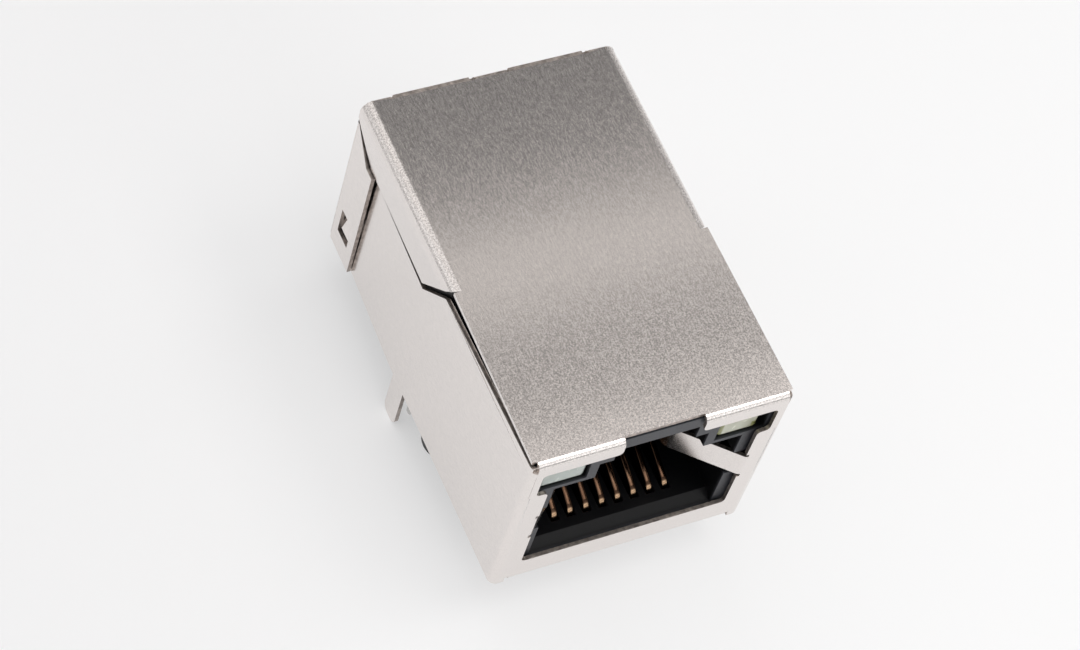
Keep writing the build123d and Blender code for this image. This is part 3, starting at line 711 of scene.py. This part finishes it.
class MakeShield(bpy.types.Operator):
    """Give the folded shield its leaning walls, rounded cut edges and a satin plated finish"""
    bl_idname = "jack.make_shield"
    bl_label = "Shield"

    def execute(self, context):
        materials = (nickel_finish(), sheared_finish())
        softened("shield", "folded_shield", materials, sizes().sheet_edge, 40, SHEET * MM,
                 self.reshape)
        return {"FINISHED"}

    def reshape(self, work):
        """Lean the walls in under the rear cover's side flaps, then shape the edges along the seams."""
        wall_ends, flap_ends = self.part_flaps(work)
        self.lean_walls(work, wall_ends, flap_ends)
        self.turn_edges(work)
        bmesh.ops.remove_doubles(work, verts=work.verts, dist=SAME_POINT)

    def cut_walls(self, work, place, normal):
        """Cut the side walls by a plane, and leave the top plate's side flaps whole."""
        walls = [f for f in work.faces if min(abs(v.co.x) for v in f.verts) > WALL_REACH * MM
                 and min(v.co.z for v in f.verts) < REAR_SEAM_HEIGHT * MM]
        cut_faces(work, walls, place, normal, 1e-7)

    def part_flaps(self, work):
        """Part the rear cover's side flaps from the walls along their front edges, close both cuts and carry
        the walls on under the flaps. The new ends of both are given back."""
        cut = (FLAP_FRONT - SETBACK) * MM
        self.cut_walls(work, (0, cut, 0), (0, 1, 0))

        def on_cut(edge):
            return all(abs(v.co.y - cut) < SAME_POINT and abs(v.co.x) > WALL_REACH * MM
                       and v.co.z < REAR_SEAM_HEIGHT * MM for v in edge.verts)

        bmesh.ops.split_edges(work, edges=[e for e in work.edges if on_cut(e)])
        open_edges = [e for e in work.edges if e.is_boundary and on_cut(e)]
        wall_ends, flap_ends = set(), set()
        for cap in bmesh.ops.holes_fill(work, edges=open_edges, sides=0)["faces"]:
            cap.material_index = 1
            neighbours = [e.other_vert(v) for v in cap.verts for e in v.link_edges]
            on_wall = any(v.co.y < cut - 5 * SAME_POINT for v in neighbours)
            (wall_ends if on_wall else flap_ends).update(cap.verts)
        for vertex in wall_ends:
            vertex.co.y = (WALL_REAR - SETBACK) * MM
        return wall_ends, flap_ends

    def lean_walls(self, work, wall_ends, flap_ends):
        """Lean each wall in behind its crease: the half width falls by the lean times the distance from the
        crease. The top plate's side flap takes a share of it, none at its bend and all at its lower edge, and
        the seam under it is widened. The rear cover's flaps stay upright, and their windows are widened."""
        self.cut_walls(work, (0, (CREASE_BOTTOM - SETBACK) * MM, 0), (0, 1, CREASE_SLOPE))
        places, side, reach, depth, height = measured(work)
        slant_depth, slant_height, fall = SLANTED_SEAM
        slanted = (depth < SLANTED_END) & (height < slant_height - fall * (depth - slant_depth))
        under_seam = (height < REAR_SEAM_HEIGHT) | slanted
        before_flap = (depth < FLAP_FRONT + ON_EDGE) & np.array([v not in flap_ends for v in work.verts])
        carried_on = np.array([v in wall_ends for v in work.verts])
        wall = (reach > WALL_REACH) & under_seam & (before_flap | carried_on)
        distance = (depth - CREASE_BOTTOM + CREASE_SLOPE * height) / np.hypot(1, CREASE_SLOPE)
        lean = side * WALL_LEAN * np.clip(distance, 0, None)
        places[:, 0] -= np.where(wall, lean, 0)
        low, bend = PLATE_FLAP_HEIGHTS
        front, rear = PLATE_FLAP_DEPTHS
        hung = (reach > SHEET_REACH) & (height < bend) & (depth > front) & (depth < rear) & ~under_seam
        taken = np.clip(lean, -PLATE_FLAP_LEAN, PLATE_FLAP_LEAN) * PLATE_FLAP_SHARE
        places[:, 0] -= np.where(hung, taken * (bend - height) / (bend - low), 0)
        rear_edge = wall & (height > REAR_EDGE_FOOT) & (height < REAR_SEAM_HEIGHT)
        places[:, 2] -= np.where(rear_edge, np.interp(depth, REAR_SEAM_DEPTHS, REAR_SEAM_ROOM), 0)
        rim = np.minimum(np.abs(reach - HALF_WIDTH), np.abs(reach - HALF_WIDTH + SHEET)) < ON_SHEET
        for axis, values, bounds in ((1, depth, LOCK_DEPTHS), (2, height, LOCK_HEIGHTS)):
            for bound, way in zip(bounds, (-1, 1)):
                moved = rim & (np.abs(values - bound) < ON_EDGE) & self.in_lock(depth, height)
                places[:, axis] += np.where(moved, way * LOCK_ROOM, 0)
        put_back(work, places)

    def in_lock(self, depth, height):
        """Which points lie in or on the opening of a snap lock."""
        return ((depth > LOCK_DEPTHS[0] - ON_EDGE) & (depth < LOCK_DEPTHS[1] + ON_EDGE)
                & (height > LOCK_HEIGHTS[0] - ON_EDGE) & (height < LOCK_HEIGHTS[1] + ON_EDGE))

    def turn_edges(self, work):
        """Turn the walls' top edges in and widen the seams towards the back, as hand pressure leaves them:
        above a height, the walls' half width falls with the square of the rise. The walls' top edges drop
        evenly with the depth, and the top plate's sides stand out by an amount that falls evenly, both up to
        the side flaps. The plate's own cut side edges keep the lighter plated finish, a painted highlight along
        them."""
        for row in TURN_ROWS:
            walls = [f for f in work.faces if max(abs(v.co.x) for v in f.verts) > SHEET_REACH * MM
                     and min(v.co.z for v in f.verts) < TURN_FOOT * MM]
            cut_faces(work, walls, (0, 0, row * MM), (0, 0, 1))
        places, side, reach, depth, height = measured(work)
        below = (reach > SHEET_REACH) & (height < TOP_SEAM_HEIGHT)
        wall = below & (height > TURN_FOOT) & (depth > TURN_DEPTHS[0]) & (depth < TURN_DEPTHS[1])
        top_edge = below & (height > TOP_EDGE_FOOT) & (depth < TOP_SEAM_END)
        rise = np.clip((height - TURN_FOOT) / TURN_RISE, 0, 1)
        places[:, 0] -= np.where(wall, side * TURN_IN * rise**2, 0)
        places[:, 2] -= np.where(top_edge, SEAM_FALL * np.clip(depth / SEAM_FALL_DEPTH, 0, 1), 0)
        inner, outer = PLATE_SIDES
        plate = (reach > inner) & (reach < outer) & (height > PLATE_FOOT) & (depth < TOP_SEAM_END)
        stand = side * PLATE_STAND * np.clip(1 - depth / PLATE_STAND_DEPTH, 0, 1)
        places[:, 0] += np.where(plate, stand, 0)
        put_back(work, places)
        # Painted highlight: the top plate's cut side edges take the plated finish instead of the sheared one
        for face in work.faces:
            x, y, z = face.calc_center_median() / MM
            if abs(x) > SHEET_REACH and z > TOP_SEAM_HEIGHT and y + SETBACK < TOP_SEAM_END:
                face.material_index = 0


class MakeMouldings(bpy.types.Operator):
    """Give the housing, the contact carrier and the case rounded edges and a moulded finish"""
    bl_idname = "jack.make_mouldings"
    bl_label = "Mouldings"

    def execute(self, context):
        edge, toned = sizes().moulded_edge, colours()
        # The inside colour is painted shade behind the housing's front
        black = moulding_finish("black_moulding", tuple(toned.moulding), 0.36, inside=tuple(toned.inside))
        softened("housing", "moulded_housing", (black,), edge, 30, reshape=self.thin_ribs)
        grey = moulding_finish("carrier_moulding", tuple(toned.carrier), 0.5, 0.12)
        for node, name in (("contact_carrier", "moulded_carrier"), ("magnetics_case", "moulded_case")):
            softened(node, name, (grey,), edge / 2, 30)
        return {"FINISHED"}

    def thin_ribs(self, work):
        """Raise the front edge of the port's ceiling under the lamps, which leaves thin ribs there."""
        for vertex in work.verts:
            x, y, z = vertex.co / MM
            if abs(z - PORT_CEILING) < ON_EDGE and y + SETBACK < RIB_FRONT and abs(x) > RIB_REACH:
                vertex.co.z += RIB_LEAD_IN * MM


class MakeContacts(bpy.types.Operator):
    """Make the eight bent contacts"""
    bl_idname = "jack.make_contacts"
    bl_label = "Contacts"

    def execute(self, context):
        finish, sized = contact_finish(), sizes()
        grid = wire_grid(CONTACT_ROUTE, sized.contact_bend / MM, sized.contact_thickness / MM,
                         sized.contact_width / MM)
        for number in range(1, 9):
            add_bent(f"contact_{number}", grid, finish)
        return {"FINISHED"}


class MakeLamps(bpy.types.Operator):
    """Make the two lamps and their four leads"""
    bl_idname = "jack.make_lamps"
    bl_label = "Lamps"

    def execute(self, context):
        sized, toned = sizes(), colours()
        left, right = node_box("led_left"), node_box("led_right")
        finishes = {
            "left": lamp_finish("lamp_resin_left", tuple(toned.resin_left), left),
            "right": lamp_finish("lamp_resin_right", tuple(toned.resin_right), right, tuple(toned.tint)),
        }
        for which, (low, high) in (("left", left), ("right", right)):
            high = high - (LAMP_END_ROOM if which == "right" else 0, 0, 0)
            mesh = new_mesh(f"lamp_{which}", block_grid(low, high, sized.lamp_corner / MM, 5))
            add_piece(f"lamp_{which}", mesh, finishes[which], f"led_{which}")
        tin = tin_finish()
        thickness = sized.lead_thickness / MM
        grid = wire_grid(LEAD_ROUTE, sized.lead_bend / MM, thickness, thickness)
        for number in range(1, 5):
            add_bent(f"led_lead_{number}", grid, tin)
        return {"FINISHED"}


class MakePins(bpy.types.Operator):
    """Make the ten terminal pins with tapered tips"""
    bl_idname = "jack.make_pins"
    bl_label = "Terminal pins"

    def execute(self, context):
        tin = bpy.data.materials["tinned_lead"]
        taper = sizes().pin_taper / MM
        for number in range(1, 11):
            node = f"terminal_pin_{number}"
            low, high = node_box(node)
            middle, side = (low + high) / 2, high[0] - low[0]
            foot, top = low[2], high[2]
            heights = np.array([foot, foot + taper * PIN_BLUNT, foot + taper, top - PIN_TOP, top])
            route = np.stack([np.full_like(heights, middle[1]), heights], -1)
            grid = carried(route, rounded_rectangle(side, side, PIN_CORNER), np.array(PIN_SHARES))
            grid[..., 0] += middle[0]
            add_piece(f"tapered_{node}", new_mesh(node, grid), tin, node, 50)
        return {"FINISHED"}


class MakeCoils(bpy.types.Operator):
    """Make the eight ring cores with rounded edges and wind wire on them"""
    bl_idname = "jack.make_coils"
    bl_label = "Coils"

    def execute(self, context):
        ferrite, copper = ferrite_finish(), wire_finish()
        sized = sizes()
        for kind, bore in BORES:
            turns = sized.wire_turns - (CHOKE_TURNS_LESS if kind == "choke" else 0)
            for number in range(1, 5):
                core, winding = f"{kind}_core_{number}", f"{kind}_winding_{number}"
                low, high = node_box(core)
                centre = (low + high) / 2
                outside, width = (high[1] - low[1]) / 2, high[0] - low[0]
                ring = ring_grid(centre, outside, bore, width)
                add_piece(f"ring_{core}", new_mesh(core, ring, True), ferrite, core)
                coil = winding_grid(centre, outside, bore, width, sized.wire_diameter / MM, turns,
                                    WINDING_GAP / outside)
                add_piece(f"wound_{winding}", new_mesh(winding, coil), copper, winding)
        return {"FINISHED"}


class MakeBoard(bpy.types.Operator):
    """Finish the circuit board and make its capacitor and resistors"""
    bl_idname = "jack.make_board"
    bl_label = "Circuit board"

    def execute(self, context):
        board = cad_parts["circuit_board"]
        board.data.materials.clear()
        board.data.materials.append(laminate_finish())
        self.chip("capacitor", "capacitor_body", "", tuple(colours().ceramic), CAPACITOR)
        for number in range(1, 5):
            self.chip(f"resistor_{number}", "resistor_body", f"_{number}", RESISTOR_GLAZE, RESISTOR)
        return {"FINISHED"}

    def chip(self, node, slot, ending, body, measures):
        """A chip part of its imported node's size, its finish named after its slot with an ending."""
        corner, cap = measures
        box = node_box(node)
        mesh = new_mesh(node, block_grid(*box, corner))
        add_piece(f"chip_{node}", mesh, chip_finish(slot + ending, body, box, cap), node)


def panel_light(name, place, target, size, radiance, tone=(1.0, 1.0, 1.0)):
    """A rectangular soft light of a width and a depth that faces the target. Its power is pi times its area
    times the radiance."""
    data = bpy.data.lights.new(name, "AREA")
    data.shape = "RECTANGLE"
    data.size, data.size_y = size
    data.energy = pi * size[0] * size[1] * radiance
    data.color = tone
    lamp = bpy.data.objects.new(name, data)
    lamp.location = place
    lamp.rotation_euler = (Vector(target) - Vector(place)).to_track_quat("-Z", "Y").to_euler()
    lamp.visible_camera = False
    bpy.context.scene.collection.objects.link(lamp)


# Soft lights: name, place, width and depth in metres, and radiance
FAR_PANELS = (
    ("key_panel", (0.36, 0.02, 0.30), (0.34, 0.34), 0.65),
    ("front_panel", (0.10, -0.42, 0.30), (0.37, 0.37), 0.85),
    ("left_panel", (-0.40, 0.10, 0.26), (0.30, 0.30), 0.9),
    ("back_panel", (-0.08, 0.42, 0.28), (0.38, 0.38), 0.85),
    ("top_panel", (-0.05, -0.05, 0.50), (0.50, 0.50), 0.9),
)
NEAR_PANELS = (
    ("plate_panel_front", (0.047, 0.028, 0.113), (0.070, 0.018), 0.8),
    ("plate_panel_middle", (0.047, 0.0445, 0.113), (0.070, 0.015), 0.07),
    ("plate_panel_band", (0.047, 0.0560, 0.113), (0.070, 0.008), 0.85),
    ("plate_panel_left", (-0.005, 0.050, 0.118), (0.034, 0.060), 0.38),
    ("bend_panel", (-0.062, 0.055, 0.105), (0.060, 0.060), 0.55),
    ("lip_panel", (0.046, -0.038, 0.125), (0.042, 0.068), 3.6),
)
WARM = (1.0, 0.955, 0.925)
ROOM = (0.52, 0.22)  # brightness at the horizon and overhead
# Painted light: more plain white towards the front right paints a pool of light there
WHITE_SHARE = (0.32, 0.7)  # share of plain white in the floor as seen, from behind left to before right
WHITE_FADE = (-0.045, 0.045)  # metres between the two
FLOOR_HALF = 1200.0  # in millimetres
FLOOR_LINES = 9


class SetStage(bpy.types.Operator):
    """Set the floor, the soft lights, the world and the camera"""
    bl_idname = "jack.set_stage"
    bl_label = "Stage"

    def execute(self, context):
        scene = context.scene
        scene.view_settings.view_transform = "Standard"
        self.floor()
        self.lights()
        self.world(scene)
        self.camera(scene)
        return {"FINISHED"}

    def floor(self):
        """A flat square under the tips of the legs."""
        line = np.linspace(-FLOOR_HALF, FLOOR_HALF, FLOOR_LINES)
        x, y = np.meshgrid(line, line)
        points = np.stack([x, y, np.full_like(x, CAD_BOX[0][2] / MM)], -1).reshape(-1, 3) * MM
        mesh = bpy.data.meshes.new("floor")
        mesh.from_pydata(points.tolist(), [], grid_faces(FLOOR_LINES, FLOOR_LINES, False, False).tolist())
        floor = bpy.data.objects.new("floor", mesh)
        base = tuple(colours().floor)
        finish = Finish("floor", base, 0.6)
        cloud = finish.noise(40.0, 2.0)
        tone = finish.tones(cloud, 0.3, 0.7, 0.99, 1.0)
        finish.set(finish.shader, {"Base Color": tone})
        self.brighten(finish)
        mesh.materials.append(finish.material)
        bpy.context.scene.collection.objects.link(floor)

    def brighten(self, finish):
        """Let the floor show partly as plain white to the camera, to metal and to clear parts, so that its
        shadow stays light. The share grows towards the front right, a painted pool of light there."""
        path = finish.node("ShaderNodeLightPath").outputs
        seen = finish.sum(finish.sum(path["Is Camera Ray"], path["Is Glossy Ray"], "MAXIMUM"),
                          path["Is Transmission Ray"], "MAXIMUM")
        white = finish.node("ShaderNodeEmission", {"Strength": 1.0})
        # Painted pool of light: more plain white towards the front right
        towards_right = finish.sum(finish.axis("X"), finish.axis("Y"), "SUBTRACT")
        share = finish.spread(towards_right, *WHITE_FADE, *WHITE_SHARE)
        mixed = finish.node("ShaderNodeMixShader", {"Fac": finish.sum(seen, share, "MULTIPLY")})
        links = finish.tree.links
        links.new(finish.shader.outputs[0], mixed.inputs[1])
        links.new(white.outputs[0], mixed.inputs[2])
        links.new(mixed.outputs[0], finish.tree.nodes["Material Output"].inputs["Surface"])
        finish.material.cycles.emission_sampling = "NONE"

    def lights(self):
        """Large soft panels all round, and small ones whose reflections lie in the plate and its bends."""
        for name, place, size, radiance in FAR_PANELS:
            panel_light(name, place, (0, 0, 0), size, radiance)
        for name, place, size, radiance in NEAR_PANELS:
            panel_light(name, place, (place[0], place[1], 0), size, radiance, WARM)

    def world(self, scene):
        """A room that is bright at the horizon and dim overhead."""
        world = bpy.data.worlds.new("world")
        world.use_nodes = True
        nodes, links = world.node_tree.nodes, world.node_tree.links
        direction = nodes.new("ShaderNodeTexCoord").outputs["Generated"]
        height = nodes.new("ShaderNodeSeparateXYZ")
        links.new(direction, height.inputs[0])
        level = nodes.new("ShaderNodeMapRange")
        level.interpolation_type = "SMOOTHSTEP"
        for name, value in (("From Min", 0.25), ("From Max", 0.75), ("To Min", ROOM[0]), ("To Max", ROOM[1])):
            level.inputs[name].default_value = value
        links.new(height.outputs["Z"], level.inputs["Value"])
        background = nodes["Background"]
        background.inputs["Color"].default_value = (1.0, 0.99, 0.985, 1)
        links.new(level.outputs["Result"], background.inputs["Strength"])
        scene.world = world

    def camera(self, scene):
        data = bpy.data.cameras.new("camera")
        data.lens = 109.1
        data.sensor_width = 36.0
        data.clip_start = 0.01
        camera = bpy.data.objects.new("camera", data)
        camera.matrix_world = Matrix((
            (0.8986723, 0.2403239, -0.3669229, -0.070438),
            (-0.3930602, 0.8124966, -0.4305263, -0.080366),
            (0.1946579, 0.5311249, 0.8246300, 0.162388),
            (0, 0, 0, 1),
        ))
        scene.collection.objects.link(camera)
        scene.camera = camera


MAKERS = (MakeShield, MakeMouldings, MakeContacts, MakeLamps, MakePins, MakeCoils, MakeBoard, SetStage)


class JackPanel(bpy.types.Panel):
    """Sizes, colours and the steps that make the jack"""
    bl_idname = "VIEW3D_PT_board_jack"
    bl_label = "Board Jack"
    bl_space_type = "VIEW_3D"
    bl_region_type = "UI"
    bl_category = "Board Jack"

    def draw(self, context):
        for group in (context.scene.jack_sizes, context.scene.jack_colours):
            box = self.layout.box()
            for name in group.__annotations__:
                box.prop(group, name)
        for maker in MAKERS:
            self.layout.operator(maker.bl_idname)


CLASSES = (JackSizes, JackColours, *MAKERS, JackPanel)


def register():
    for each in CLASSES:
        bpy.utils.register_class(each)
    bpy.types.Scene.jack_sizes = PointerProperty(type=JackSizes)
    bpy.types.Scene.jack_colours = PointerProperty(type=JackColours)


def unregister():
    del bpy.types.Scene.jack_colours
    del bpy.types.Scene.jack_sizes
    for each in reversed(CLASSES):
        bpy.utils.unregister_class(each)


def main():
    """Make every piece in order."""
    register()
    for maker in MAKERS:
        group, name = maker.bl_idname.split(".")
        getattr(getattr(bpy.ops, group), name)()


if __name__ == "__main__":
    main()
